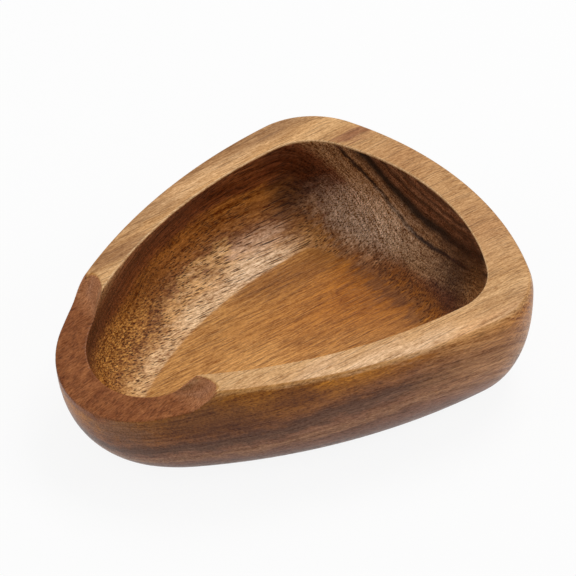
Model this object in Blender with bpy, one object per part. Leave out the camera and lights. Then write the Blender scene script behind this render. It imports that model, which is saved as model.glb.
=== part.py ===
"""Coffee dosing tray, carved from one block of acacia.

A rounded triangle in plan: a narrow tip at -X, where the beans pour out, and a broad back at +X.
The hollow has steep walls, a wide cove at their foot and a level floor. Across the tip the rim is
cut down to a sloping lip, which rises at its end in a ramp through both sides of the rim.

Units are metres. The origin is at the centre of the base, +Z is up and +X runs from tip to back.
"""

import math

import bmesh
import bpy
from mathutils import Vector

# Overall size
LENGTH = 0.120
WIDTH = 0.0965
HEIGHT = 0.030

# Plan of the widest section: the radii of the arcs that make it
TIP_RADIUS = 0.025
CORNER_RADIUS = 0.0203
SIDE_RADIUS = 0.153
BACK_RADIUS = 0.086

# Outer side, from the foot up: a full curve, a plain band, and a rounded shoulder under the rim
FOOT_INSET = 0.0128
FOOT_TIP_RADIUS = 0.0198
SIDE_FULLNESS = 2.2
SIDE_BAND = 0.001
SHOULDER_HEIGHT = 0.005
SHOULDER_WIDTH = 0.0015

# Rim widths, which place the hollow in the block
RIM_AT_TIP = 0.008
RIM_AT_BACK = 0.0092
RIM_AT_SIDE = 0.010

# Hollow
HOLLOW_TIP_RADIUS = 0.0188
HOLLOW_CORNER_RADIUS = 0.0158
HOLLOW_SIDE_RADIUS = 0.132
HOLLOW_BACK_RADIUS = 0.0607
FLOOR_THICKNESS = 0.006
COVE_RADIUS = 0.017
COVE_START = math.radians(10.2)
RIM_EASE = 0.0006

# Pouring lip: its length back from the tip along the rim, its depth at the tip and its slope,
# then the slope of the ramp that ends it and the radius between the two
LIP_LENGTH = 0.023
LIP_DEPTH_AT_TIP = 0.0106
LIP_SLOPE = math.radians(16.4)
RAMP_SLOPE = math.radians(50)
RAMP_BLEND_RADIUS = 0.0062

# How far a cutter stands above the rim, and the least radius that a cove leaves in a corner
CUTTER_OVERRUN = 0.004
LEAST_RADIUS = 0.001

# Smoothness of the curves, in segments
ARC_SEGMENTS = 11
BLEND_SEGMENTS = 8
SIDE_RINGS = 9
SHOULDER_RINGS = 4
COVE_RINGS = 8
EASE_RINGS = 2


def direction(angle):
    return Vector((math.cos(angle), math.sin(angle)))


def angle_of(vector):
    return math.atan2(vector.y, vector.x)


def turn(start, end, steps):
    """Angles from start to end in equal steps."""
    return [start + (end - start) * step / steps for step in range(steps + 1)]


def quarter_turn(steps):
    """Angles from 0 to 90 degrees in equal steps."""
    return turn(0.0, 0.5 * math.pi, steps)


def rounded_triangle(front, back, half_width, tip_radius, corner_radius, side_radius, back_radius):
    """Points and outward normals of a closed outline of six tangent arcs, symmetric about X.

    It runs from the middle of the back over the +Y side to the tip and returns over the -Y side.
    front and back are the x values of the tip and of the middle of the back.
    """
    tip = Vector((front + tip_radius, 0.0))
    rise = half_width - corner_radius
    reach = back_radius - corner_radius
    back_centre = Vector((back - back_radius, 0.0))
    corner = back_centre + Vector((math.sqrt(reach**2 - rise**2), rise))
    # The side arc holds the tip circle and the corner circle, and touches each from inside.
    to_tip = side_radius - tip_radius
    to_corner = side_radius - corner_radius
    gap = (corner - tip).length
    along = (corner - tip) / gap
    ahead = (to_tip**2 - to_corner**2 + gap**2) / (2 * gap)
    aside = math.sqrt(to_tip**2 - ahead**2)
    side = tip + along * ahead + Vector((along.y, -along.x)) * aside

    first = angle_of(corner - back_centre)
    second = angle_of(corner - side)
    third = angle_of(tip - side)
    arcs = (
        (back_centre, back_radius, 0.0, first),
        (corner, corner_radius, first, second),
        (side, side_radius, second, third),
        (tip, tip_radius, third, math.pi),
    )
    half = []
    for centre, radius, start, end in arcs:
        for step in range(ARC_SEGMENTS):
            normal = direction(start + (end - start) * step / ARC_SEGMENTS)
            half.append((centre + normal * radius, normal))
    at_tip = (Vector((front, 0.0)), Vector((-1.0, 0.0)))
    mirrored = [(Vector((p.x, -p.y)), Vector((n.x, -n.y))) for p, n in reversed(half[1:])]
    return half + [at_tip] + mirrored


def level_ring(outline, inset, height):
    """The outline moved in by inset, at one height."""
    return [(point - normal * inset).to_3d() + Vector((0, 0, height)) for point, normal in outline]


def loft(name, rings, collection):
    """A closed solid through rings of equal count, capped flat at both ends."""
    mesh = bmesh.new()
    loops = [[mesh.verts.new(point) for point in ring] for ring in rings]
    for lower, upper in zip(loops, loops[1:]):
        for index in range(len(lower)):
            after = (index + 1) % len(lower)
            mesh.faces.new((lower[index], lower[after], upper[after], upper[index]))
    mesh.faces.new(tuple(reversed(loops[0])))
    mesh.faces.new(loops[-1])
    bmesh.ops.recalc_face_normals(mesh, faces=mesh.faces)
    data = bpy.data.meshes.new(name)
    mesh.to_mesh(data)
    mesh.free()
    solid = bpy.data.objects.new(name, data)
    collection.objects.link(solid)
    return solid


def wood(name, colour, roughness):
    material = bpy.data.materials.new(name)
    material.use_nodes = True
    shader = material.node_tree.nodes["Principled BSDF"]
    shader.inputs["Base Color"].default_value = colour
    shader.inputs["Roughness"].default_value = roughness
    shader.inputs["Metallic"].default_value = 0.0
    return material


def block_outline():
    """Plan of the widest section."""
    return rounded_triangle(
        -LENGTH / 2, LENGTH / 2, WIDTH / 2, TIP_RADIUS, CORNER_RADIUS, SIDE_RADIUS, BACK_RADIUS
    )


def foot_outline():
    """Plan of the flat base, inset all round and a little blunter at the tip."""
    return rounded_triangle(
        -LENGTH / 2 + FOOT_INSET,
        LENGTH / 2 - FOOT_INSET,
        WIDTH / 2 - FOOT_INSET,
        FOOT_TIP_RADIUS,
        CORNER_RADIUS - FOOT_INSET,
        SIDE_RADIUS - FOOT_INSET,
        BACK_RADIUS - FOOT_INSET,
    )


def hollow_outline():
    """Plan of the hollow where it meets the rim."""
    return rounded_triangle(
        -LENGTH / 2 + RIM_AT_TIP,
        LENGTH / 2 - RIM_AT_BACK,
        WIDTH / 2 - RIM_AT_SIDE,
        HOLLOW_TIP_RADIUS,
        HOLLOW_CORNER_RADIUS,
        HOLLOW_SIDE_RADIUS,
        HOLLOW_BACK_RADIUS,
    )


def side_curve(height, curve_height):
    """Share of the foot's inset that is left at a height, on a superellipse from foot to band."""
    drop = 1 - height / curve_height
    return 1 - (1 - drop**SIDE_FULLNESS) ** (1 / SIDE_FULLNESS)


def make_block(collection):
    """The block before it is hollowed."""
    widest = block_outline()
    foot = foot_outline()
    curve_height = HEIGHT - SHOULDER_HEIGHT - SIDE_BAND
    rings = []
    for angle in quarter_turn(SIDE_RINGS):
        height = curve_height * (1 - math.cos(angle))
        share = side_curve(height, curve_height)
        ring = [wide.lerp(low, share) for (wide, _), (low, _) in zip(widest, foot)]
        rings.append([point.to_3d() + Vector((0, 0, height)) for point in ring])
    for angle in quarter_turn(SHOULDER_RINGS):
        inset = SHOULDER_WIDTH * (1 - math.cos(angle))
        height = HEIGHT - SHOULDER_HEIGHT * (1 - math.sin(angle))
        rings.append(level_ring(widest, inset, height))
    return loft("tray", rings, collection)


def make_hollow_cutter(collection):
    """The space for the beans, with a cove round the floor and an eased edge at the rim.

    The cove meets the floor at a slight angle, which shows as a crease all round the floor.
    """
    outline = hollow_outline()
    wall_height = HEIGHT - FLOOR_THICKNESS - RIM_EASE
    tightest = min(HOLLOW_TIP_RADIUS, HOLLOW_CORNER_RADIUS) - LEAST_RADIUS
    flattest = math.cos(COVE_START)
    cove = min(COVE_RADIUS, tightest / (1 - math.sin(COVE_START)), wall_height / flattest)
    rings = []
    for angle in turn(COVE_START, 0.5 * math.pi, COVE_RINGS):
        inset = cove * (1 - math.sin(angle))
        height = FLOOR_THICKNESS + cove * (flattest - math.cos(angle))
        rings.append(level_ring(outline, inset, height))
    for angle in quarter_turn(EASE_RINGS):
        inset = -RIM_EASE * (1 - math.cos(angle))
        rings.append(level_ring(outline, inset, HEIGHT - RIM_EASE * (1 - math.sin(angle))))
    rings.append(level_ring(outline, -RIM_EASE, HEIGHT + CUTTER_OVERRUN))
    return loft("hollow_cutter", rings, collection)


def lip_profile():
    """Side view of the cut for the lip: its slope, a rounded blend and the ramp, as x and z."""
    at_tip = Vector((-LENGTH / 2, HEIGHT - LIP_DEPTH_AT_TIP))
    at_rim = at_tip + Vector((LIP_LENGTH, LIP_DEPTH_AT_TIP))
    along_lip = direction(LIP_SLOPE)
    slope = math.tan(LIP_SLOPE)
    ramp = math.tan(RAMP_SLOPE)
    # The slope through at_tip and the ramp through at_rim meet at this x.
    meeting = (at_rim.y - at_tip.y + slope * at_tip.x - ramp * at_rim.x) / (slope - ramp)
    corner = at_tip + along_lip * (meeting - at_tip.x) / along_lip.x
    blend_start = corner - along_lip * RAMP_BLEND_RADIUS * math.tan((RAMP_SLOPE - LIP_SLOPE) / 2)
    centre = blend_start + Vector((-along_lip.y, along_lip.x)) * RAMP_BLEND_RADIUS
    blend = [
        centre + direction(angle - 0.5 * math.pi) * RAMP_BLEND_RADIUS
        for angle in turn(LIP_SLOPE, RAMP_SLOPE, BLEND_SEGMENTS)
    ]
    outside = at_tip - along_lip * CUTTER_OVERRUN / along_lip.x
    above_ramp = at_rim + Vector((CUTTER_OVERRUN / ramp, CUTTER_OVERRUN))
    above_tip = Vector((outside.x, above_ramp.y))
    return [outside] + blend + [above_ramp, above_tip]


def make_lip_cutter(collection):
    """A straight cut across the tip, from one side of the block to the other."""
    profile = lip_profile()
    rings = [[Vector((point.x, y, point.y)) for point in profile] for y in (-WIDTH / 2, WIDTH / 2)]
    return loft("lip_cutter", rings, collection)


def cut(solid, cutter):
    modifier = solid.modifiers.new(cutter.name, "BOOLEAN")
    modifier.operation = "DIFFERENCE"
    modifier.solver = "EXACT"
    modifier.object = cutter
    cutter.hide_render = True
    cutter.display_type = "WIRE"


def clear_scene():
    for leftover in list(bpy.data.objects):
        bpy.data.objects.remove(leftover)


def new_collection(name):
    collection = bpy.data.collections.new(name)
    bpy.context.scene.collection.children.link(collection)
    return collection


def main():
    clear_scene()
    parts = new_collection("coffee_dosing_tray")
    cutters = new_collection("cutters")
    cutters.hide_render = True

    tray = make_block(parts)
    tray.data.materials.append(wood("oiled_acacia", (0.30, 0.14, 0.055, 1.0), 0.42))
    cut(tray, make_hollow_cutter(cutters))
    cut(tray, make_lip_cutter(cutters))
    tray.data.shade_smooth()
    tray.data.set_sharp_from_angle(angle=math.radians(35))


main()
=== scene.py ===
"""Scene of a coffee dosing tray, carved from one block of oiled acacia."""

import math

import bpy
import numpy as np
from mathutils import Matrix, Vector


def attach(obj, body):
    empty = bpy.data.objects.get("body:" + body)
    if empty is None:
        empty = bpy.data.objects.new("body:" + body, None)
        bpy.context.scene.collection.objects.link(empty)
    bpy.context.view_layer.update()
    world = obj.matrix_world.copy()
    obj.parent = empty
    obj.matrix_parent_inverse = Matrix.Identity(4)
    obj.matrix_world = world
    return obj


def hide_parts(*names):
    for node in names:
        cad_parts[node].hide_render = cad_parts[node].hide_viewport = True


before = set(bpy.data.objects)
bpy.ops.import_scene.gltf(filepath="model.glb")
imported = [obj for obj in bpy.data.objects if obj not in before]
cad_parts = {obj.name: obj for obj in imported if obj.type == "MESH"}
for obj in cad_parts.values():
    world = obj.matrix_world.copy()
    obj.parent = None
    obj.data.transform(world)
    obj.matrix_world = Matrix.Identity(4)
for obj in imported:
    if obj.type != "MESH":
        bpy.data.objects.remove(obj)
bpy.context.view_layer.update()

MM = 0.001
MATH = "ShaderNodeMath"
VECTOR = "ShaderNodeVectorMath"
COMBINE = "ShaderNodeCombineXYZ"
SEPARATE = "ShaderNodeSeparateXYZ"
SWITCH = "GeometryNodeSwitch"
GROUP = "GeometryNodeGroup"
NOISE = "ShaderNodeTexNoise"
VORONOI = "ShaderNodeTexVoronoi"
RANGE = "ShaderNodeMapRange"
RAMP = "ShaderNodeValToRGB"
MIX = "ShaderNodeMix"

# Sizes of the tray, as in the frame: lengths in metres, angles in radians, slopes and fullness plain
TRAY_SIZES = {
    "Front": -60.0 * MM,
    "Back": 60.0 * MM,
    "Half Width": 48.25 * MM,
    "Height": 30.0 * MM,
    "Tip Radius": 25.0 * MM,
    "Corner Radius": 20.3 * MM,
    "Side Radius": 153.0 * MM,
    "Back Radius": 86.0 * MM,
    "Foot Inset": 12.8 * MM,
    "Foot Tip Radius": 19.8 * MM,
    "Side Fullness": 2.2,
    "Side Height": 24.0 * MM,
    "Shoulder Width": 1.3 * MM,
    "Shoulder Height": 4.4 * MM,
    "Shoulder Fullness": 2.0,
    "Crown Width": 5.5 * MM,
    "Crown Height": 0.5 * MM,
    "Rim At Tip": 8.0 * MM,
    "Rim At Back": 9.2 * MM,
    "Rim At Side": 10.0 * MM,
    "Hollow Tip Radius": 18.8 * MM,
    "Hollow Corner Radius": 15.8 * MM,
    "Hollow Side Radius": 132.0 * MM,
    "Hollow Back Radius": 60.7 * MM,
    "Floor Thickness": 6.0 * MM,
    "Cove Radius": 17.0 * MM,
    "Cove Dip": 0.27 * MM,
    "Crease Blend": 0.10 * MM,
    "Rim Ease": 0.4 * MM,
    "Lip Height At Tip": 19.4 * MM,
    "Lip Slope": math.tan(math.radians(16.4)),
    "Lip Tilt": 0.03,
    "Ramp Top": -37.9 * MM,
    "Ramp Bulge": 2.2 * MM,
    "Ramp Angle": math.radians(50.0),
    "Ramp Blend": 1.6 * MM,
    "Ramp Ease": 0.6 * MM,
    "Lip Ease": 0.35 * MM,
    "Ease Run": 4.0 * MM,
}
PLAN_SIZES = ("Front", "Back", "Half Width", "Tip Radius", "Corner Radius", "Side Radius", "Back Radius")

# How the tray is sampled and skinned. The density falls by 1 a voxel outwards, and the skin lies where
# it passes its level. Each pass then settles the skin on the exact surface, by slopes probed a small
# step each way. The least level keeps the slope of a full curve from growing without end.
VOXEL = 0.25 * MM
SKIN_LEVEL = 10.0
FLATNESS = 0.01
SETTLE_PASSES = 3
PROBE_STEP = 0.02 * MM
LEAST_LEVEL = 0.01

# Where the pith of the trunk ran over the tray and how it fell towards the tip, in millimetres
PITH = (0.0, -1.0, 58.0)
PITH_RISE = 0.148

# How far the layers wander in millimetres, and how often to the millimetre each way
SLOW_WANDER = 5.0
SLOW_BANDS = (0.010, 0.028, 0.028)
RIPPLE_WANDER = 1.6
RIPPLE_BANDS = (0.035, 0.22, 0.22)

# Colours of the growth layers by distance from the pith, in millimetres, on each kind of cut
END_LAYERS = (
    (20.0, "#8a5a3a"),
    (22.6, "#54331f"),
    (23.8, "#946242"),
    (25.0, "#50301d"),
    (26.2, "#906040"),
    (27.4, "#52331f"),
    (28.8, "#87583a"),
    (30.2, "#5c3a25"),
    (31.0, "#2c1e15"),
    (32.2, "#34251b"),
    (33.2, "#7c583a"),
    (35.3, "#a0744c"),
    (35.9, "#3e2a1e"),
    (36.4, "#3e2a1e"),
    (37.0, "#a87e56"),
    (41.5, "#aa7e54"),
)
WALL_LAYERS = END_LAYERS + (
    (44.0, "#7c482a"),
    (46.5, "#64351c"),
    (49.0, "#703a1c"),
    (51.0, "#7e4520"),
    (52.4, "#a6682a"),
    (54.0, "#985e2a"),
    (55.6, "#a26832"),
    (56.2, "#8e5a32"),
    (56.8, "#c08c50"),
    (57.8, "#d8a872"),
    (60.0, "#e8bc86"),
    (63.0, "#eec696"),
)
SIDE_LAYERS = END_LAYERS + (
    (46.0, "#a8681f"),
    (50.0, "#b87222"),
    (53.0, "#a06228"),
    (55.4, "#8a5632"),
    (56.8, "#6a4530"),
    (58.2, "#744f38"),
    (59.6, "#946244"),
    (61.0, "#a87650"),
    (62.5, "#8c5c40"),
    (70.0, "#744834"),
)
FLOOR_LAYERS = (
    (44.0, "#9a5a1e"),
    (48.0, "#ac6720"),
    (52.0, "#bc7e3c"),
    (57.0, "#ca904e"),
    (63.0, "#d0944c"),
)
RIM_LAYERS = (
    (20.0, "#c2925e"),
    (25.0, "#b88654"),
    (30.0, "#c69662"),
    (38.0, "#c2925c"),
    (42.0, "#d8a972"),
    (46.0, "#ce9c64"),
    (49.0, "#dcae7a"),
    (54.0, "#c89662"),
)

# Streaks and spots in the wood, and a few of painted light as marked: centre and reach in millimetres,
# strength and colour
SPOTS = (
    # Inner walls
    ((33.0, 36.0, 16.0), (11.0, 12.0, 9.0), 0.7, "#4a2c1c"),
    ((46.0, -15.5, 16.5), (13.0, 18.0, 10.8), 0.8, "#3a1e12"),
    ((45.0, -25.0, 20.5), (8.0, 11.0, 9.0), 0.9, "#2e1208"),
    ((47.0, -20.0, 25.5), (9.0, 20.0, 4.5), 0.75, "#442414"),
    ((-20.0, 26.0, 16.0), (17.0, 8.0, 9.0), 0.6, "#74431c"),
    ((18.0, 38.0, 27.0), (11.0, 6.0, 4.0), 0.5, "#94582c"),
    ((-44.0, 10.0, 22.0), (26.0, 24.0, 9.0), 0.75, "#5e341e"),
    # Painted sheen on the back wall's cove
    ((43.0, 20.0, 12.5), (14.0, 22.0, 10.0), 0.7, "#e2bc96"),
    # Floor
    # Painted shade along the foot of the back wall
    ((37.0, 2.0, 6.0), (5.0, 40.0, 3.5), 0.6, "#74482c"),
    ((17.0, 19.0, 6.0), (24.0, 8.0, 3.0), 0.65, "#8a5220"),
    ((-12.0, -3.0, 6.0), (22.0, 12.0, 3.0), 0.5, "#dca05a"),
    # Rim
    ((-29.0, 29.0, 30.0), (22.0, 5.6, 3.0), 0.7, "#8a5c38"),
    ((-13.0, 37.0, 30.0), (17.0, 5.2, 3.0), 0.6, "#96693e"),
    ((33.0, 45.0, 30.0), (22.0, 6.0, 3.0), 0.75, "#8e623a"),
    ((38.0, -43.0, 30.0), (15.0, 9.0, 3.0), 0.55, "#b08250"),
    ((49.0, 31.0, 30.0), (10.0, 4.0, 2.0), 0.8, "#96603f"),
    ((4.0, 45.0, 30.0), (32.0, 5.2, 3.0), 0.8, "#8e6034"),
    # Painted highlight along the crown of the near rim
    ((-13.0, -35.0, 30.0), (13.0, 3.8, 3.0), 0.36, "#ecc49a"),
    ((0.0, -39.5, 30.0), (13.0, 3.8, 3.0), 0.36, "#ecc49a"),
    ((12.0, -43.0, 30.0), (13.0, 3.8, 3.0), 0.36, "#ecc49a"),
    # Outer side
    ((-38.0, -26.0, 21.0), (30.0, 18.0, 9.0), 0.75, "#623822"),
    # Darker wood at the tip's side, greyed as a painted reflection of the pale floor
    ((-55.0, -12.0, 17.0), (13.0, 14.0, 7.0), 0.7, "#745442"),
    ((33.0, -47.0, 16.0), (15.0, 6.0, 5.0), 0.6, "#c89468"),
    ((-21.0, -37.0, 25.5), (15.0, 8.0, 5.0), 0.75, "#6e3c1c"),
    ((26.0, -47.0, 28.0), (17.0, 6.0, 5.0), 0.6, "#d89c5e"),
    ((30.0, -46.0, 20.0), (30.0, 14.0, 11.0), 0.7, "#b47c4a"),
    ((48.0, -34.0, 15.0), (24.0, 20.0, 13.0), 0.6, "#c48a50"),
)

# Painted sheen at the foot of the cove, where the oil would mirror the softbox, listed the same way
PAINTED_COVE_SHEEN = (
    ((12.0, 26.0, 6.5), (22.0, 8.0, 3.5), 0.7, "#eeca9e"),
    ((18.0, 31.0, 9.5), (12.0, 6.0, 4.5), 0.6, "#e0b48c"),
    ((-8.0, 20.0, 6.0), (19.0, 8.0, 3.0), 0.75, "#eac290"),
    ((-26.0, 12.0, 6.0), (15.0, 9.0, 3.0), 0.75, "#e6ba84"),
    ((-36.0, 3.0, 6.5), (9.0, 10.0, 3.0), 0.7, "#e2b276"),
)

# Wall by the tip that cuts across the fibres: centre and reach in millimetres
FLECKED_WOOD = ((-37.0, 18.0, 12.0), (32.0, 20.0, 8.0))

# Colours of small places: flecks and lip from dark to pale, then one colour each
FLECK_COLOURS = ("#622c0c", "#c88c42")
LIP_COLOURS = ("#7a4424", "#9c6036")
RAMP_COLOUR = "#b0744a"
SHOULDER_COLOUR = "#bc8446"
# Painted highlight along the rim's inner edge
EDGE_HIGHLIGHT_COLOUR = "#e6bd8a"
PORE_COLOUR = "#3a1e0c"

# Raggedness of edges in the wood: bands to the millimetre, how far a spot's edge strays each way in
# millimetres, and how far a layer's edge strays, by the layer's distance from the pith
RAGGED_BANDS = (0.10, 0.55, 0.55)
SPOT_STRAY = (24.0, 7.0, 7.0)
LAYER_STRAY = (38.0, 46.0, 1.3, 5.0)

# Kinds of grain: bands to the millimetre each way, how soft their edges are, and their detail
FIBRE_GRAIN = {
    "fibre": ((0.22, 2.6, 2.6), 0.14, 3.0),
    "streak": ((0.025, 0.6, 0.6), 0.2, 3.0),
    "grit": ((1.0, 3.0, 3.0), 0.12, 3.0),
    "dash": ((0.5, 2.1, 2.1), 0.15, 3.0),
    "mottle": ((0.3, 0.5, 0.5), 0.2, 3.0),
}
LAYER_GRAIN = {
    "layer": ((0.05, 0.06, 2.0), 0.2, 3.0),
    "ring": ((0.10, 0.24, 2.4), 0.14, 2.0),
}

# How much of each grain shows: the cut that matters, the amount off it and on it, and what other cuts add
GRAIN_AMOUNTS = {
    "fibre": ("level", 0.46, 0.62, {"high": -0.12}),
    "streak": ("level", 0.20, 0.20, {}),
    "grit": ("carved", 0.36, 0.50, {"end_grain": 0.50}),
    "dash": ("carved", 0.08, 0.45, {"end_grain": -0.28, "high_wall": -0.15}),
    "ring": ("end_grain", 0.0, 0.6, {}),
    "layer": ("flat", 0.75, 0.20, {"high_wall": 0.55, "end_grain": -0.45}),
}

# What the grain multiplies the colour by where it is darkest and palest, and the least it may
GRAIN_TINTS = ((0.50, 0.36, 0.18, 1.0), (1.46, 1.58, 1.80, 1.0))
LEAST_TINT = (0.15, 0.10, 0.06)

# Pores to the millimetre each way, where their edge starts and ends as a share of their spacing, how
# many are open, and how strongly they show off and on the carved faces
PORE_BANDS = (0.08, 2.6, 2.6)
PORE_EDGE = (0.22, 0.42)
OPEN_PORES = 0.8
PORE_DEPTHS = (0.40, 0.90)

# Roughness of the carved faces and of the rim, how much the fibres and the pores change it
POLISH = (0.32, 0.38)
FIBRE_SHEEN = (0.05, -0.05)
PORE_ROUGHNESS = 0.3

# Relief of the grain: its height in metres, how much of it shows, and how deep the pores lie in it
RELIEF_HEIGHT = 0.04 * MM
RELIEF_SHARE = 0.7
PORE_GROOVE = -1.5

# Lamps: place and width in metres, power in watts
LAMPS = {
    "softbox": ((0.47, 0.18, 0.82), 0.46, 4.4),
    "side_box": ((0.64, -0.46, 0.62), 0.36, 1.6),
    "reflector": ((-0.70, 0.40, 0.46), 0.5, 1.4),
}


def add(tree, kind, inputs=(), stops=(), **settings):
    """Adds a node with its settings, and links or sets its inputs, given in order or by name."""
    node = tree.nodes.new(kind)
    if stops:
        elements = node.color_ramp.elements
        elements.remove(elements[1])
        for index, (share, colour) in enumerate(stops):
            element = elements.new(share) if index else elements[0]
            element.position = share
            element.color = linear(colour)
    for name, value in settings.items():
        setattr(node, name, value)
    if isinstance(inputs, dict):
        pairs = [(node.inputs[name], value) for name, value in inputs.items()]
    else:
        pairs = list(zip([socket for socket in node.inputs if socket.enabled], inputs))
    for socket, value in pairs:
        if isinstance(value, bpy.types.Node):
            value = next(output for output in value.outputs if output.enabled)
        if isinstance(value, bpy.types.NodeSocket):
            tree.links.new(value, socket)
        else:
            socket.default_value = value
    return node


def new_tree(name, inputs, outputs):
    """An empty geometry tree, with its input sockets and its output node."""
    tree = bpy.data.node_groups.new(name, "GeometryNodeTree")
    for label, kind in inputs.items():
        tree.interface.new_socket(label, in_out="INPUT", socket_type=kind)
    for label, kind in outputs.items():
        tree.interface.new_socket(label, in_out="OUTPUT", socket_type=kind)
    return tree, tree.nodes.new("NodeGroupInput").outputs, tree.nodes.new("NodeGroupOutput")


def give(tree, result, name, node):
    """Links a node's first output to an output of its tree."""
    tree.links.new(next(output for output in node.outputs if output.enabled), result.inputs[name])


def floats(names):
    """Sockets for plain numbers, by name."""
    return {name: "NodeSocketFloat" for name in names}


def plan_distance_tree():
    """Distance in plan from a rounded triangle of tangent arcs, symmetric about X. It is below 0 inside."""
    tree, size, result = new_tree(
        "plan_distance",
        {"Point": "NodeSocketVector", **floats(PLAN_SIZES)},
        {"Distance": "NodeSocketFloat"},
    )
    up = (0.0, 0.0, 1.0)

    # Centres of the tip, corner and back arcs
    tip_x = add(tree, MATH, (size["Front"], size["Tip Radius"]), operation="ADD")
    tip = add(tree, COMBINE, (tip_x,))
    back_x = add(tree, MATH, (size["Back"], size["Back Radius"]), operation="SUBTRACT")
    back = add(tree, COMBINE, (back_x,))
    rise = add(tree, MATH, (size["Half Width"], size["Corner Radius"]), operation="SUBTRACT")
    reach = add(tree, MATH, (size["Back Radius"], size["Corner Radius"]), operation="SUBTRACT")
    rise_squared = add(tree, MATH, (rise, rise), operation="MULTIPLY")
    reach_squared = add(tree, MATH, (reach, reach), operation="MULTIPLY")
    run_squared = add(tree, MATH, (reach_squared, rise_squared), operation="SUBTRACT")
    run = add(tree, MATH, (run_squared,), operation="SQRT")
    corner_x = add(tree, MATH, (back_x, run), operation="ADD")
    corner = add(tree, COMBINE, (corner_x, rise))

    # Centre of the side arc, which holds the tip circle and the corner circle and touches both
    to_tip = add(tree, MATH, (size["Side Radius"], size["Tip Radius"]), operation="SUBTRACT")
    to_corner = add(tree, MATH, (size["Side Radius"], size["Corner Radius"]), operation="SUBTRACT")
    span = add(tree, VECTOR, (corner, tip), operation="SUBTRACT")
    gap = add(tree, VECTOR, (span,), operation="LENGTH")
    along = add(tree, VECTOR, (span,), operation="NORMALIZE")
    across = add(tree, VECTOR, (along, up), operation="CROSS_PRODUCT")
    to_tip_squared = add(tree, MATH, (to_tip, to_tip), operation="MULTIPLY")
    to_corner_squared = add(tree, MATH, (to_corner, to_corner), operation="MULTIPLY")
    excess = add(tree, MATH, (to_tip_squared, to_corner_squared), operation="SUBTRACT")
    total = add(tree, MATH, (gap, gap, excess), operation="MULTIPLY_ADD")
    twice = add(tree, MATH, (gap, 2.0), operation="MULTIPLY")
    ahead = add(tree, MATH, (total, twice), operation="DIVIDE")
    ahead_squared = add(tree, MATH, (ahead, ahead), operation="MULTIPLY")
    aside_squared = add(tree, MATH, (to_tip_squared, ahead_squared), operation="SUBTRACT")
    aside = add(tree, MATH, (aside_squared,), operation="SQRT")
    forward = add(tree, VECTOR, (along, ahead), operation="SCALE")
    sideways = add(tree, VECTOR, (across, aside), operation="SCALE")
    offset = add(tree, VECTOR, (forward, sideways), operation="ADD")
    side = add(tree, VECTOR, (tip, offset), operation="ADD")

    # Distance from each arc's circle, at the point folded on to the +Y half
    place = add(tree, SEPARATE, (size["Point"],)).outputs
    folded = add(tree, MATH, (place["Y"],), operation="ABSOLUTE")
    point = add(tree, COMBINE, (place["X"], folded))
    distance = {}
    for name, centre in (("Tip", tip), ("Corner", corner), ("Side", side), ("Back", back)):
        away = add(tree, VECTOR, (point, centre), operation="DISTANCE")
        distance[name] = add(tree, MATH, (away, size[name + " Radius"]), operation="SUBTRACT")

    # The arc whose sector holds the point counts. A point is past a ray where it lies to its left.
    past = {}
    for name, start, end in (("Back", back, corner), ("Corner", side, corner), ("Side", side, tip)):
        ray = add(tree, VECTOR, (end, start), operation="SUBTRACT")
        reached = add(tree, VECTOR, (point, end), operation="SUBTRACT")
        turn = add(tree, VECTOR, (ray, reached), operation="CROSS_PRODUCT")
        left = add(tree, VECTOR, (turn, up), operation="DOT_PRODUCT")
        past[name] = add(tree, MATH, (left, 0.0), operation="GREATER_THAN")
    rear = add(tree, SWITCH, (past["Back"], distance["Back"], distance["Corner"]), input_type="FLOAT")
    fore = add(tree, SWITCH, (past["Side"], distance["Side"], distance["Tip"]), input_type="FLOAT")
    give(tree, result, "Distance", add(tree, SWITCH, (past["Corner"], rear, fore), input_type="FLOAT"))
    return tree


def rounded_edge_tree():
    """Distance from what two solids share, with the edge where they meet rounded to a radius."""
    tree, given, result = new_tree(
        "rounded_edge", floats(("A", "B", "Radius")), {"Distance": "NodeSocketFloat"}
    )
    past = []
    for name in ("A", "B"):
        inner = add(tree, MATH, (given[name], given["Radius"]), operation="ADD")
        past.append(add(tree, MATH, (inner, 0.0), operation="MAXIMUM"))
    round_part = add(tree, VECTOR, (add(tree, COMBINE, past),), operation="LENGTH")
    nearer = add(tree, MATH, (given["A"], given["B"]), operation="MAXIMUM")
    within = add(tree, MATH, (given["Radius"], -1.0), operation="MULTIPLY")
    flat_part = add(tree, MATH, (nearer, within), operation="MINIMUM")
    give(tree, result, "Distance", add(tree, MATH, (round_part, flat_part), operation="ADD"))
    return tree


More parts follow.
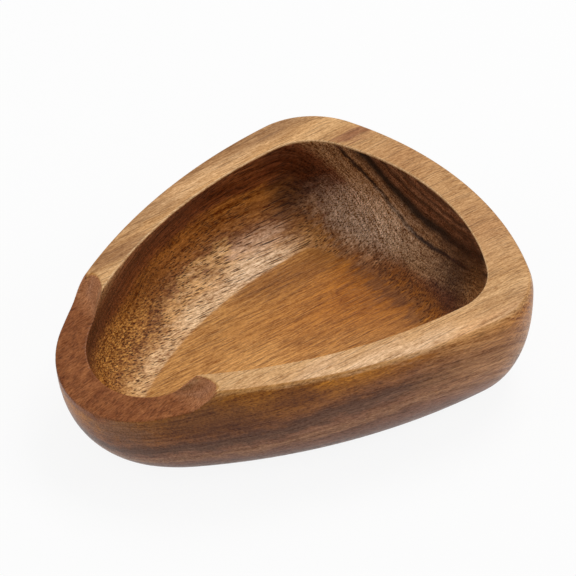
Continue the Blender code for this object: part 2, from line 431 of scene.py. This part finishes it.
def full_curve_tree():
    """Distance from a quarter of a superellipse, from how far a point lies past its middle each way."""
    tree, given, result = new_tree(
        "full_curve",
        floats(("Across", "Width", "Along", "Height", "Fullness")),
        {"Distance": "NodeSocketFloat"},
    )
    lower = add(tree, MATH, (given["Fullness"], 1.0), operation="SUBTRACT")
    inverse = add(tree, MATH, (1.0, given["Fullness"]), operation="DIVIDE")
    powers = []
    slopes = []
    for reach, extent in (("Across", "Width"), ("Along", "Height")):
        clipped = add(tree, MATH, (given[reach], 0.0), operation="MAXIMUM")
        share = add(tree, MATH, (clipped, given[extent]), operation="DIVIDE")
        powers.append(add(tree, MATH, (share, given["Fullness"]), operation="POWER"))
        slope = add(tree, MATH, (share, lower), operation="POWER")
        slopes.append(add(tree, MATH, (slope, given[extent]), operation="DIVIDE"))
    summed = add(tree, MATH, powers, operation="ADD")
    level = add(tree, MATH, (summed, inverse), operation="POWER")
    steepness = add(tree, VECTOR, (add(tree, COMBINE, slopes),), operation="LENGTH")
    kept = add(tree, MATH, (level, LEAST_LEVEL), operation="MAXIMUM")
    scale = add(tree, MATH, (kept, lower), operation="POWER")
    gradient = add(tree, MATH, (steepness, scale), operation="DIVIDE")
    longest = add(tree, MATH, (given["Width"], given["Height"]), operation="MAXIMUM")
    least = add(tree, MATH, (1.0, longest), operation="DIVIDE")
    gradient = add(tree, MATH, (gradient, least), operation="MAXIMUM")
    past = add(tree, MATH, (level, 1.0), operation="SUBTRACT")
    give(tree, result, "Distance", add(tree, MATH, (past, gradient), operation="DIVIDE"))
    return tree


def tray_distance_tree(plan_distance, rounded_edge, full_curve):
    """Distance from the tray's surface: the block, less the hollow, less the cut for the lip."""
    tree, size, result = new_tree(
        "tray_distance",
        {"Point": "NodeSocketVector", **floats(TRAY_SIZES)},
        {"Distance": "NodeSocketFloat"},
    )
    point = size["Point"]
    height = add(tree, SEPARATE, (point,)).outputs["Z"]

    # Widest plan, and the foot's plan inside it
    widest = add(
        tree, GROUP, {"Point": point, **{name: size[name] for name in PLAN_SIZES}}, node_tree=plan_distance
    )
    foot_sizes = {"Point": point, "Tip Radius": size["Foot Tip Radius"]}
    foot_sizes["Front"] = add(tree, MATH, (size["Front"], size["Foot Inset"]), operation="ADD")
    for name in ("Back", "Half Width", "Corner Radius", "Side Radius", "Back Radius"):
        foot_sizes[name] = add(tree, MATH, (size[name], size["Foot Inset"]), operation="SUBTRACT")
    foot = add(tree, GROUP, foot_sizes, node_tree=plan_distance)

    # Outer side: a full curve from the foot up to a plain band, then a shoulder and a low crown at the rim
    between = add(tree, MATH, (foot, widest), operation="SUBTRACT")
    share = add(tree, MATH, (foot, between), operation="DIVIDE")
    side_curve = {
        "Across": add(tree, MATH, (share, size["Foot Inset"]), operation="MULTIPLY"),
        "Width": size["Foot Inset"],
        "Along": add(tree, MATH, (size["Side Height"], height), operation="SUBTRACT"),
        "Height": size["Side Height"],
        "Fullness": size["Side Fullness"],
    }
    side = add(tree, GROUP, side_curve, node_tree=full_curve)
    shoulder_start = add(tree, MATH, (size["Height"], size["Shoulder Height"]), operation="SUBTRACT")
    over_crown = add(tree, MATH, (widest, size["Crown Width"]), operation="ADD")
    crown_share = add(tree, MATH, (over_crown, size["Crown Width"]), operation="DIVIDE", use_clamp=True)
    crown_squared = add(tree, MATH, (crown_share, crown_share), operation="MULTIPLY")
    crowned = add(tree, MATH, (crown_squared, size["Crown Height"], height), operation="MULTIPLY_ADD")
    shoulder_curve = {
        "Across": add(tree, MATH, (widest, size["Shoulder Width"]), operation="ADD"),
        "Width": size["Shoulder Width"],
        "Along": add(tree, MATH, (crowned, shoulder_start), operation="SUBTRACT"),
        "Height": size["Shoulder Height"],
        "Fullness": size["Shoulder Fullness"],
    }
    shoulder = add(tree, GROUP, shoulder_curve, node_tree=full_curve)
    block = add(tree, MATH, (side, shoulder), operation="MAXIMUM")

    # Hollow: a cove that dips a little under the floor, and the level floor that cuts it off
    hollow_sizes = {"Point": point}
    hollow_sizes["Front"] = add(tree, MATH, (size["Front"], size["Rim At Tip"]), operation="ADD")
    hollow_sizes["Back"] = add(tree, MATH, (size["Back"], size["Rim At Back"]), operation="SUBTRACT")
    hollow_sizes["Half Width"] = add(
        tree, MATH, (size["Half Width"], size["Rim At Side"]), operation="SUBTRACT"
    )
    for name in ("Tip Radius", "Corner Radius", "Side Radius", "Back Radius"):
        hollow_sizes[name] = size["Hollow " + name]
    hollow_plan = add(tree, GROUP, hollow_sizes, node_tree=plan_distance)
    below_floor = add(tree, MATH, (size["Floor Thickness"], height), operation="SUBTRACT")
    below_cove = add(tree, MATH, (below_floor, size["Cove Dip"]), operation="SUBTRACT")
    cove_shape = {"A": hollow_plan, "B": below_cove, "Radius": size["Cove Radius"]}
    cove = add(tree, GROUP, cove_shape, node_tree=rounded_edge)
    hollow = add(tree, MATH, (cove, below_floor, size["Crease Blend"]), operation="SMOOTH_MAX")
    outside_hollow = add(tree, MATH, (hollow, -1.0), operation="MULTIPLY")
    bowl_shape = {"A": block, "B": outside_hollow, "Radius": size["Rim Ease"]}
    bowl = add(tree, GROUP, bowl_shape, node_tree=rounded_edge)

    # Lip: a cut straight across the tip, over a floor that slopes down to it and a ramp up to the rim
    place = add(tree, SEPARATE, (point,)).outputs
    from_tip = add(tree, MATH, (place["X"], size["Front"]), operation="SUBTRACT")
    along_lip = add(
        tree, MATH, (from_tip, size["Lip Slope"], size["Lip Height At Tip"]), operation="MULTIPLY_ADD"
    )
    both_sides = add(tree, MATH, (widest, hollow_plan), operation="ADD")
    half_tilt = add(tree, MATH, (size["Lip Tilt"], 0.5), operation="MULTIPLY")
    lip_height = add(tree, MATH, (both_sides, half_tilt, along_lip), operation="MULTIPLY_ADD")
    below_lip = add(tree, MATH, (lip_height, height), operation="SUBTRACT")
    rim_width = add(tree, MATH, (widest, hollow_plan), operation="SUBTRACT")
    aside = add(tree, MATH, (both_sides, rim_width), operation="DIVIDE")
    aside_squared = add(tree, MATH, (aside, aside), operation="MULTIPLY")
    bulge_share = add(tree, MATH, (1.0, aside_squared), operation="SUBTRACT", use_clamp=True)
    bulged = add(
        tree, MATH, (bulge_share, size["Ramp Bulge"], size["Ramp Top"]), operation="MULTIPLY_ADD"
    )
    ramp_run = add(tree, MATH, (place["X"], bulged), operation="SUBTRACT")
    ramp_rise = add(tree, MATH, (height, size["Height"]), operation="SUBTRACT")
    ramp_sine = add(tree, MATH, (size["Ramp Angle"],), operation="SINE")
    ramp_cosine = add(tree, MATH, (size["Ramp Angle"],), operation="COSINE")
    along_run = add(tree, MATH, (ramp_run, ramp_sine), operation="MULTIPLY")
    along_rise = add(tree, MATH, (ramp_rise, ramp_cosine), operation="MULTIPLY")
    behind_ramp = add(tree, MATH, (along_run, along_rise), operation="SUBTRACT")
    cut = add(tree, MATH, (below_lip, behind_ramp, size["Ramp Blend"]), operation="SMOOTH_MAX")
    outside_cut = add(tree, MATH, (cut, -1.0), operation="MULTIPLY")
    ramp_start = add(tree, MATH, (size["Ramp Top"], size["Ease Run"]), operation="SUBTRACT")
    ease_span = (place["X"], ramp_start, size["Ramp Top"], size["Lip Ease"], size["Ramp Ease"])
    ease = add(tree, RANGE, ease_span)
    tray_shape = {"A": bowl, "B": outside_cut, "Radius": ease}
    give(tree, result, "Distance", add(tree, GROUP, tray_shape, node_tree=rounded_edge))
    return tree


def settle_tree(tray_distance):
    """Moves a point on to the tray's surface along its slope, and gives the surface's direction."""
    tree, given, result = new_tree(
        "settle",
        {"Point": "NodeSocketVector", **floats(TRAY_SIZES), "Step": "NodeSocketFloat"},
        {"Point": "NodeSocketVector", "Direction": "NodeSocketVector"},
    )
    sizes = {name: given[name] for name in TRAY_SIZES}
    here = add(tree, GROUP, {"Point": given["Point"], **sizes}, node_tree=tray_distance)
    slopes = []
    for axis in ((1.0, 0.0, 0.0), (0.0, 1.0, 0.0), (0.0, 0.0, 1.0)):
        step = add(tree, VECTOR, (axis, given["Step"]), operation="SCALE")
        after = add(tree, VECTOR, (given["Point"], step), operation="ADD")
        before = add(tree, VECTOR, (given["Point"], step), operation="SUBTRACT")
        higher = add(tree, GROUP, {"Point": after, **sizes}, node_tree=tray_distance)
        lower = add(tree, GROUP, {"Point": before, **sizes}, node_tree=tray_distance)
        slopes.append(add(tree, MATH, (higher, lower), operation="SUBTRACT"))
    twice = add(tree, MATH, (given["Step"], 0.5), operation="DIVIDE")
    inverse = add(tree, MATH, (1.0, twice), operation="DIVIDE")
    gradient = add(tree, VECTOR, (add(tree, COMBINE, slopes), inverse), operation="SCALE")
    squared = add(tree, VECTOR, (gradient, gradient), operation="DOT_PRODUCT")
    length = add(tree, MATH, (here, squared), operation="DIVIDE")
    shift = add(tree, VECTOR, (gradient, length), operation="SCALE")
    give(tree, result, "Point", add(tree, VECTOR, (given["Point"], shift), operation="SUBTRACT"))
    give(tree, result, "Direction", add(tree, VECTOR, (gradient,), operation="NORMALIZE"))
    return tree


def carved_tray_tree():
    """The tray as a closed mesh: its space is sampled, skinned, and drawn on to the exact surface."""
    tray_distance = tray_distance_tree(plan_distance_tree(), rounded_edge_tree(), full_curve_tree())
    settle = settle_tree(tray_distance)
    tree, given, result = new_tree(
        "carved_tray",
        {
            **floats(TRAY_SIZES),
            "Voxel": "NodeSocketFloat",
            "Flatness": "NodeSocketFloat",
            "Wood": "NodeSocketMaterial",
        },
        {"Geometry": "NodeSocketGeometry"},
    )
    sizes = {name: given[name] for name in TRAY_SIZES}
    here = add(tree, "GeometryNodeInputPosition")

    # The sampled box stands two voxels clear of the tray all round.
    clear = add(tree, MATH, (given["Voxel"], 2.0), operation="MULTIPLY")
    low_x = add(tree, MATH, (given["Front"], clear), operation="SUBTRACT")
    high_x = add(tree, MATH, (given["Back"], clear), operation="ADD")
    high_y = add(tree, MATH, (given["Half Width"], clear), operation="ADD")
    low_y = add(tree, MATH, (high_y, -1.0), operation="MULTIPLY")
    low_z = add(tree, MATH, (clear, -1.0), operation="MULTIPLY")
    high_z = add(tree, MATH, (given["Height"], clear), operation="ADD")
    counts = []
    for low, high in ((low_x, high_x), (low_y, high_y), (low_z, high_z)):
        extent = add(tree, MATH, (high, low), operation="SUBTRACT")
        voxels = add(tree, MATH, (extent, given["Voxel"]), operation="DIVIDE")
        counts.append(add(tree, "FunctionNodeFloatToInt", (voxels,), rounding_mode="CEILING"))
    distance = add(tree, GROUP, {"Point": here, **sizes}, node_tree=tray_distance)
    scaled = add(tree, MATH, (distance, given["Voxel"]), operation="DIVIDE")
    density = add(tree, MATH, (SKIN_LEVEL, scaled), operation="SUBTRACT")
    space = {
        "Density": density,
        "Background": 0.0,
        "Min": add(tree, COMBINE, (low_x, low_y, low_z)),
        "Max": add(tree, COMBINE, (high_x, high_y, high_z)),
        "Resolution X": counts[0],
        "Resolution Y": counts[1],
        "Resolution Z": counts[2],
    }
    volume = add(tree, "GeometryNodeVolumeCube", space)
    skin = add(
        tree,
        "GeometryNodeVolumeToMesh",
        {"Volume": volume, "Threshold": SKIN_LEVEL, "Adaptivity": given["Flatness"]},
        resolution_mode="GRID",
    )
    for _ in range(SETTLE_PASSES):
        moved = add(tree, GROUP, {"Point": here, **sizes, "Step": PROBE_STEP}, node_tree=settle)
        skin = add(
            tree, "GeometryNodeSetPosition", {"Geometry": skin, "Position": moved.outputs["Point"]}
        )
    final = add(tree, GROUP, {"Point": here, **sizes, "Step": PROBE_STEP}, node_tree=settle)
    skin = add(
        tree,
        "GeometryNodeStoreNamedAttribute",
        {"Geometry": skin, "Name": "direction", "Value": final.outputs["Direction"]},
        data_type="FLOAT_VECTOR",
        domain="POINT",
    )
    skin = add(tree, "GeometryNodeSetShadeSmooth", {"Geometry": skin, "Shade Smooth": True})
    skin = add(tree, "GeometryNodeRealizeInstances", (skin,))
    skin = add(tree, "GeometryNodeSetMaterial", {"Geometry": skin, "Material": given["Wood"]})
    give(tree, result, "Geometry", skin)
    return tree


def plain_mesh(name, tree, inputs):
    """Runs a geometry tree on an empty mesh and returns an object that holds its result."""
    carrier = bpy.data.objects.new(name + "_carrier", bpy.data.meshes.new(name + "_carrier"))
    bpy.context.scene.collection.objects.link(carrier)
    modifier = carrier.modifiers.new(name, "NODES")
    modifier.node_group = tree
    for item in tree.interface.items_tree:
        if item.in_out == "INPUT":
            modifier[item.identifier] = inputs[item.name]
    graph = bpy.context.evaluated_depsgraph_get()
    mesh = bpy.data.meshes.new_from_object(carrier.evaluated_get(graph))
    mesh.name = name
    bpy.data.objects.remove(carrier)
    made = bpy.data.objects.new(name, mesh)
    bpy.context.scene.collection.objects.link(made)
    return made


def make_tray(wood):
    """The tray, with the exact surface directions as its normals."""
    inputs = {**TRAY_SIZES, "Voxel": VOXEL, "Flatness": FLATNESS, "Wood": wood}
    tray = plain_mesh("carved_tray", carved_tray_tree(), inputs)
    mesh = tray.data
    directions = np.zeros(len(mesh.vertices) * 3, np.float32)
    mesh.attributes["direction"].data.foreach_get("vector", directions)
    mesh.attributes.remove(mesh.attributes["direction"])
    mesh.normals_split_custom_set_from_vertices(directions.reshape(-1, 3).tolist())
    return tray


def linear(colour):
    """An sRGB hex colour as linear red, green, blue and 1."""
    channels = [int(colour[start : start + 2], 16) / 255 for start in (1, 3, 5)]
    return tuple([c / 12.92 if c <= 0.04045 else ((c + 0.055) / 1.055) ** 2.4 for c in channels] + [1.0])


def new_material(name):
    """A material with its node tree and its shader."""
    material = bpy.data.materials.new(name)
    material.use_nodes = True
    tree = material.node_tree
    return material, tree, tree.nodes["Principled BSDF"]


def growth_distance(tree, point):
    """Distance from the pith of the trunk in millimetres, with the layers wandering as they grew."""
    slow_place = add(tree, VECTOR, (point, SLOW_BANDS), operation="MULTIPLY")
    slow = add(tree, NOISE, {"Vector": slow_place, "Scale": 1.0, "Detail": 2.0})
    ripple_place = add(tree, VECTOR, (point, RIPPLE_BANDS), operation="MULTIPLY")
    ripple = add(tree, NOISE, {"Vector": ripple_place, "Scale": 1.0, "Detail": 3.0})
    place = add(tree, SEPARATE, (point,)).outputs
    level = add(tree, COMBINE, {"Y": place["Y"], "Z": place["Z"]})
    straight = add(tree, VECTOR, (level, PITH), operation="DISTANCE")
    tilted = add(tree, MATH, (place["X"], -PITH_RISE, straight), operation="MULTIPLY_ADD")
    wandered = add(tree, MATH, (slow, SLOW_WANDER, tilted), operation="MULTIPLY_ADD")
    rippled = add(tree, MATH, (ripple, RIPPLE_WANDER, wandered), operation="MULTIPLY_ADD")
    return add(tree, MATH, (rippled, 0.5 * (SLOW_WANDER + RIPPLE_WANDER)), operation="SUBTRACT")


def layer_colours(tree, growth, layers):
    """The colours of the growth layers, listed by their distance from the pith."""
    nearest, farthest = layers[0][0], layers[-1][0]
    share = add(tree, RANGE, (growth, nearest, farthest))
    stops = [((distance - nearest) / (farthest - nearest), colour) for distance, colour in layers]
    return add(tree, RAMP, (share,), stops=stops)


def soft_spot(tree, point, centre, reach):
    """1 at a place in the wood, falling to 0 at its reach each way, in millimetres."""
    away = add(tree, VECTOR, (point, centre), operation="SUBTRACT")
    scaled = add(tree, VECTOR, (away, reach), operation="DIVIDE")
    distance = add(tree, VECTOR, (scaled,), operation="LENGTH")
    return add(tree, RANGE, (distance, 0.25, 1.0, 1.0, 0.0), interpolation_type="SMOOTHSTEP")


def find_cuts(tree, point, normal):
    """Shares from 0 to 1 that tell which cut of the wood a face is.

    Heights and places are in millimetres, and turns are parts of the face's direction.
    """
    place = add(tree, SEPARATE, (point,)).outputs
    facing = add(tree, SEPARATE, (normal,)).outputs

    # The outer side turns away from a place over the hollow
    over_hollow = add(tree, VECTOR, (point, (5.0, 0.0, 40.0)), operation="SUBTRACT")
    turned_away = add(tree, VECTOR, (normal, over_hollow), operation="DOT_PRODUCT")
    outer = add(tree, MATH, (turned_away, 0.0), operation="GREATER_THAN")

    # Floor of the hollow and top of the rim
    low = add(tree, RANGE, (place["Z"], 10.0, 13.0, 1.0, 0.0))
    level = add(tree, RANGE, (facing["Z"], 0.76, 0.98), interpolation_type="SMOOTHSTEP")
    level = add(tree, MATH, (level, low), operation="MULTIPLY")
    inner_top = add(tree, RANGE, (place["Z"], 29.3, 29.6), interpolation_type="SMOOTHSTEP")
    outer_top = add(tree, RANGE, (place["Z"], 28.2, 29.95), interpolation_type="SMOOTHSTEP")
    high = add(tree, MIX, (outer, inner_top, outer_top))

    # Lip: its own floor, and the ramps at its ends
    below_rim = add(tree, RANGE, (place["Z"], 28.5, 29.1, 1.0, 0.0))
    upward = add(tree, RANGE, (facing["Z"], 0.35, 0.55))
    floor_of_lip = add(tree, MATH, (below_rim, upward), operation="MULTIPLY")
    tipward = add(tree, RANGE, (facing["X"], -0.55, -0.40, 1.0, 0.0))
    sideways = add(tree, MATH, (facing["Y"],), operation="ABSOLUTE")
    ahead = add(tree, RANGE, (sideways, 0.35, 0.50, 1.0, 0.0))
    ramp = add(tree, MATH, (tipward, ahead), operation="MULTIPLY")
    lip = add(tree, MATH, (floor_of_lip, ramp), operation="MAXIMUM")
    over_cove = add(tree, RANGE, (place["Z"], 17.0, 18.5))
    lip = add(tree, MATH, (lip, over_cove), operation="MULTIPLY")
    by_tip = add(tree, RANGE, (place["X"], -35.0, -34.0, 1.0, 0.0))
    lip = add(tree, MATH, (lip, by_tip), operation="MULTIPLY")
    up_ramp = add(tree, RANGE, (place["X"], -43.5, -40.5))

    # Walls of the hollow: their foot, their upper part, and where they cross the fibres
    flat = add(tree, MATH, (level, high), operation="MAXIMUM")
    flat = add(tree, MATH, (flat, lip), operation="MAXIMUM")
    steep = add(tree, MATH, (1.0, flat), operation="SUBTRACT")
    inner_wall = add(tree, MATH, (steep, outer), operation="SUBTRACT", use_clamp=True)
    aslant = add(tree, RANGE, (facing["Z"], 0.985, 0.998, 1.0, 0.0))
    foot_of_cove = add(tree, MATH, (aslant, low), operation="MULTIPLY")
    foot_of_cove = add(tree, MATH, (foot_of_cove, outer), operation="SUBTRACT", use_clamp=True)
    carved = add(tree, MATH, (inner_wall, foot_of_cove), operation="MAXIMUM")
    high_wall = add(tree, RANGE, (place["Z"], 15.0, 24.0))
    high_wall = add(tree, MATH, (high_wall, inner_wall), operation="MULTIPLY")
    lengthways = add(tree, MATH, (facing["X"],), operation="ABSOLUTE")
    end_grain = add(tree, RANGE, (lengthways, 0.35, 0.75))
    end_grain = add(tree, MATH, (end_grain, inner_wall), operation="MULTIPLY")

    # The rim's inner edge, where it rounds into the hollow and gets a painted highlight, and its outer
    # shoulder, which counts most towards the tip
    turned_down = add(tree, RANGE, (facing["Z"], 0.90, 0.97, 1.0, 0.0))
    painted_edge_highlight = add(tree, RANGE, (place["Z"], 29.6, 29.75))
    painted_edge_highlight = add(tree, MATH, (painted_edge_highlight, turned_down), operation="MULTIPLY")
    painted_edge_highlight = add(tree, MATH, (painted_edge_highlight, outer), operation="SUBTRACT", use_clamp=True)
    over_side = add(tree, RANGE, (place["Z"], 28.9, 29.4))
    under_top = add(tree, RANGE, (place["Z"], 29.70, 29.96, 1.0, 0.0))
    shoulder = add(tree, MATH, (over_side, under_top), operation="MULTIPLY")
    shoulder = add(tree, MATH, (shoulder, outer), operation="MULTIPLY")
    tipwards = add(tree, RANGE, (place["X"], -2.0, 14.0, 0.8, 0.2))
    shoulder = add(tree, MATH, (shoulder, tipwards), operation="MULTIPLY")
    return {
        "outer": outer,
        "level": level,
        "high": high,
        "lip": lip,
        "up_ramp": up_ramp,
        "flat": flat,
        "inner_wall": inner_wall,
        "foot_of_cove": foot_of_cove,
        "carved": carved,
        "high_wall": high_wall,
        "end_grain": end_grain,
        "painted_edge_highlight": painted_edge_highlight,
        "shoulder": shoulder,
    }


def grain_patterns(tree, point, growth):
    """A shade from 0 to 1 of each kind of grain, along the fibres or through the growth layers."""
    place = add(tree, SEPARATE, (point,)).outputs
    through_layers = add(tree, COMBINE, (place["X"], place["Y"], growth))
    patterns = {}
    for where, kinds in ((point, FIBRE_GRAIN), (through_layers, LAYER_GRAIN)):
        for name, (bands, softness, detail) in kinds.items():
            scaled = add(tree, VECTOR, (where, bands), operation="MULTIPLY")
            noise = {"Vector": scaled, "Scale": 1.0, "Detail": detail, "Roughness": 0.6}
            patterns[name] = add(tree, RANGE, (add(tree, NOISE, noise), 0.5 - softness, 0.5 + softness))
    return patterns


def colour_before_grain(tree, point, growth, cuts, patterns):
    """The colour of layers, spots and small places. Their edges are ragged, drawn out along the grain."""
    ragged_place = add(tree, VECTOR, (point, RAGGED_BANDS), operation="MULTIPLY")
    ragged_noise = {"Vector": ragged_place, "Scale": 1.0, "Detail": 4.0, "Roughness": 0.65}
    ragged = add(tree, NOISE, ragged_noise).outputs["Color"]
    ragged = add(tree, VECTOR, (ragged, (0.5, 0.5, 0.5)), operation="SUBTRACT")
    spot_point = add(tree, VECTOR, (ragged, SPOT_STRAY, point), operation="MULTIPLY_ADD")
    inward = add(tree, SEPARATE, (ragged,)).outputs["Z"]
    stray = add(tree, RANGE, (growth, *LAYER_STRAY))
    ragged_growth = add(tree, MATH, (inward, stray, growth), operation="MULTIPLY_ADD")

    colour = layer_colours(tree, ragged_growth, WALL_LAYERS)
    kinds = (("level", growth, FLOOR_LAYERS), ("outer", ragged_growth, SIDE_LAYERS))
    kinds += (("high", ragged_growth, RIM_LAYERS),)
    for cut, distance, layers in kinds:
        layered = layer_colours(tree, distance, layers)
        colour = add(tree, MIX, (cuts[cut], colour, layered), data_type="RGBA")

    # Streaks and spots that the growth layers don't explain, a few of them painted light, then the painted
    # sheen at the foot of the cove
    for spots, place_mask in ((SPOTS, 1.0), (PAINTED_COVE_SHEEN, cuts["foot_of_cove"])):
        for centre, reach, strength, tint in spots:
            spot = soft_spot(tree, spot_point, centre, reach)
            spot = add(tree, MATH, (spot, place_mask), operation="MULTIPLY")
            share = add(tree, MATH, (spot, strength), operation="MULTIPLY")
            colour = add(tree, MIX, (share, colour, linear(tint)), data_type="RGBA")

    # Golden flecks where the wall by the tip cuts across the fibres
    flecked = soft_spot(tree, spot_point, *FLECKED_WOOD)
    flecked = add(tree, MATH, (flecked, cuts["inner_wall"]), operation="MULTIPLY")
    flecked = add(tree, MATH, (flecked, 0.85), operation="MULTIPLY")
    dark, pale = FLECK_COLOURS
    flecks = add(tree, MIX, (patterns["dash"], linear(dark), linear(pale)), data_type="RGBA")
    colour = add(tree, MIX, (flecked, colour, flecks), data_type="RGBA")

    # A painted highlight along the hollow's edge, and the deeper gold of the shoulder
    painted_edge_highlight = add(tree, MATH, (cuts["painted_edge_highlight"], 0.8), operation="MULTIPLY")
    colour = add(tree, MIX, (painted_edge_highlight, colour, linear(EDGE_HIGHLIGHT_COLOUR)), data_type="RGBA")
    colour = add(tree, MIX, (cuts["shoulder"], colour, linear(SHOULDER_COLOUR)), data_type="RGBA")

    # The lip is cut aslant, so it is mottled, and paler up its ramps
    dark, pale = LIP_COLOURS
    lip_colour = add(tree, MIX, (patterns["mottle"], linear(dark), linear(pale)), data_type="RGBA")
    lip_colour = add(tree, MIX, (cuts["up_ramp"], lip_colour, linear(RAMP_COLOUR)), data_type="RGBA")
    return add(tree, MIX, (cuts["lip"], colour, lip_colour), data_type="RGBA")


def grain_shade(tree, patterns, cuts):
    """How far the grain is from its middle shade: below 0 where it is dark, above 0 where it is pale."""
    shade = 0.0
    total = 0.0
    for name, (cut, off_it, on_it, changes) in GRAIN_AMOUNTS.items():
        amount = add(tree, RANGE, (cuts[cut], 0.0, 1.0, off_it, on_it))
        for other, change in changes.items():
            amount = add(tree, MATH, (cuts[other], change, amount), operation="MULTIPLY_ADD")
        shade = add(tree, MATH, (patterns[name], amount, shade), operation="MULTIPLY_ADD")
        total = add(tree, MATH, (amount, total), operation="ADD")
    middle = add(tree, MATH, (total, 0.5), operation="MULTIPLY")
    return add(tree, MATH, (shade, middle), operation="SUBTRACT")


def open_pores(tree, point, carved):
    """Open vessels a quarter of a millimetre wide and a centimetre long, clearest on the carved faces."""
    pore_place = add(tree, VECTOR, (point, PORE_BANDS), operation="MULTIPLY")
    pores = add(tree, VORONOI, {"Vector": pore_place, "Scale": 1.0}).outputs
    pore = add(tree, RANGE, (pores["Distance"], *PORE_EDGE, 1.0, 0.0))
    chance = add(tree, SEPARATE, (pores["Color"],)).outputs["X"]
    present = add(tree, MATH, (chance, OPEN_PORES), operation="LESS_THAN")
    pore = add(tree, MATH, (pore, present), operation="MULTIPLY")
    depth = add(tree, RANGE, (carved, 0.0, 1.0, *PORE_DEPTHS))
    return add(tree, MATH, (pore, depth), operation="MULTIPLY")


def oiled_acacia():
    """Acacia, carved out of one block, sanded and oiled.

    The eye gets curved growth layers on the walls, fine fibres along the tray, open pores that are
    dashes where the cut follows the grain and dots where it crosses it, and the oil's satin gloss.
    """
    material, tree, shader = new_material("oiled_acacia")
    coordinates = add(tree, "ShaderNodeTexCoord").outputs
    point = add(tree, VECTOR, (coordinates["Object"], 1 / MM), operation="SCALE")
    growth = growth_distance(tree, point)
    cuts = find_cuts(tree, point, coordinates["Normal"])
    patterns = grain_patterns(tree, point, growth)
    shade = grain_shade(tree, patterns, cuts)
    pore = open_pores(tree, point, cuts["carved"])

    colour = colour_before_grain(tree, point, growth, cuts, patterns)
    paleness = add(tree, RANGE, (shade, -0.5, 0.5), clamp=False)
    tint = add(tree, MIX, (paleness, *GRAIN_TINTS), data_type="RGBA", clamp_factor=False)
    tint = add(tree, VECTOR, (tint, LEAST_TINT), operation="MAXIMUM")
    colour = add(tree, VECTOR, (colour, tint), operation="MULTIPLY")
    colour = add(tree, MIX, (pore, colour, linear(PORE_COLOUR)), data_type="RGBA")
    tree.links.new(colour.outputs["Result"], shader.inputs["Base Color"])

    # The oil lies in the wood and not on it, so it mirrors less than a full film would
    polish = add(tree, MIX, (cuts["high"], *POLISH))
    sheen = add(tree, RANGE, (patterns["fibre"], 0.0, 1.0, *FIBRE_SHEEN))
    sheen = add(tree, MATH, (polish, sheen), operation="ADD")
    rough = add(tree, MATH, (pore, PORE_ROUGHNESS, sheen), operation="MULTIPLY_ADD")
    tree.links.new(rough.outputs["Value"], shader.inputs["Roughness"])
    shader.inputs["IOR"].default_value = 1.47
    shader.inputs["Specular IOR Level"].default_value = 0.18

    relief = add(tree, MATH, (pore, PORE_GROOVE, shade), operation="MULTIPLY_ADD")
    relief_inputs = {"Height": relief, "Strength": RELIEF_SHARE, "Distance": RELIEF_HEIGHT}
    bump = add(tree, "ShaderNodeBump", relief_inputs)
    tree.links.new(bump.outputs["Normal"], shader.inputs["Normal"])
    return material


def paper_white():
    """The backdrop: matt white paper, which the camera and reflections see as plain white."""
    material, tree, shader = new_material("paper_white")
    shader.inputs["Base Color"].default_value = linear("#e8e8e8")
    shader.inputs["Roughness"].default_value = 0.9
    glow = add(tree, "ShaderNodeEmission", {"Color": (1.0, 1.0, 1.0, 1.0), "Strength": 1.0})
    path = add(tree, "ShaderNodeLightPath").outputs
    seen = add(tree, MATH, (path["Is Camera Ray"], path["Is Glossy Ray"]), operation="MAXIMUM")
    share = add(tree, MATH, (seen, 0.9), operation="MULTIPLY")
    mixed = add(tree, "ShaderNodeMixShader", (share, shader, glow))
    tree.links.new(mixed.outputs[0], tree.nodes["Material Output"].inputs["Surface"])
    return material


def make_floor():
    """A plain floor for the tray to stand on."""
    mesh = bpy.data.meshes.new("floor")
    reach = 1.5
    corners = [(-reach, -reach, 0), (reach, -reach, 0), (reach, reach, 0), (-reach, reach, 0)]
    mesh.from_pydata(corners, [], [(0, 1, 2, 3)])
    mesh.materials.append(paper_white())
    floor = bpy.data.objects.new("floor", mesh)
    bpy.context.scene.collection.objects.link(floor)


def light_world():
    """An even pale surround, plain white behind the tray."""
    world = bpy.data.worlds.new("studio")
    world.use_nodes = True
    bpy.context.scene.world = world
    tree = world.node_tree
    surround = tree.nodes["Background"]
    surround.inputs["Color"].default_value = linear("#ffffff")
    surround.inputs["Strength"].default_value = 0.42
    white = add(tree, "ShaderNodeBackground", {"Color": (1.0, 1.0, 1.0, 1.0), "Strength": 1.0})
    path = add(tree, "ShaderNodeLightPath").outputs
    mixed = add(tree, "ShaderNodeMixShader", (path["Is Camera Ray"], surround, white))
    tree.links.new(mixed.outputs[0], tree.nodes["World Output"].inputs["Surface"])


def light_area(name, place, width, power):
    """A soft square lamp that faces the tray."""
    lamp = bpy.data.lights.new(name, "AREA")
    lamp.size = width
    lamp.energy = power
    holder = bpy.data.objects.new(name, lamp)
    holder.location = place
    holder.rotation_euler = Vector(place).to_track_quat("Z", "Y").to_euler()
    bpy.context.scene.collection.objects.link(holder)


def make_camera():
    """The photograph's view, fitted to the tray's outline, rim and lip."""
    azimuth, elevation, distance = math.radians(-36.907), math.radians(40.631), 1.0598
    target = Vector((19.944 * MM, 20.595 * MM, 0.0))
    back = Vector(
        (
            math.sin(azimuth) * math.cos(elevation),
            -math.cos(azimuth) * math.cos(elevation),
            math.sin(elevation),
        )
    )
    data = bpy.data.cameras.new("camera")
    data.sensor_width = 36.0
    data.lens = 259.71
    data.clip_start = 0.01
    camera = bpy.data.objects.new("camera", data)
    camera.location = target + back * distance
    camera.rotation_euler = back.to_track_quat("Z", "Y").to_euler()
    bpy.context.scene.collection.objects.link(camera)
    bpy.context.scene.camera = camera


def main():
    bpy.context.scene.view_settings.view_transform = "Standard"
    make_camera()
    light_world()
    make_floor()
    for name, (place, width, power) in LAMPS.items():
        light_area(name, place, width, power)
    tray = make_tray(oiled_acacia())
    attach(tray, "root")
    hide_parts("tray")


main()
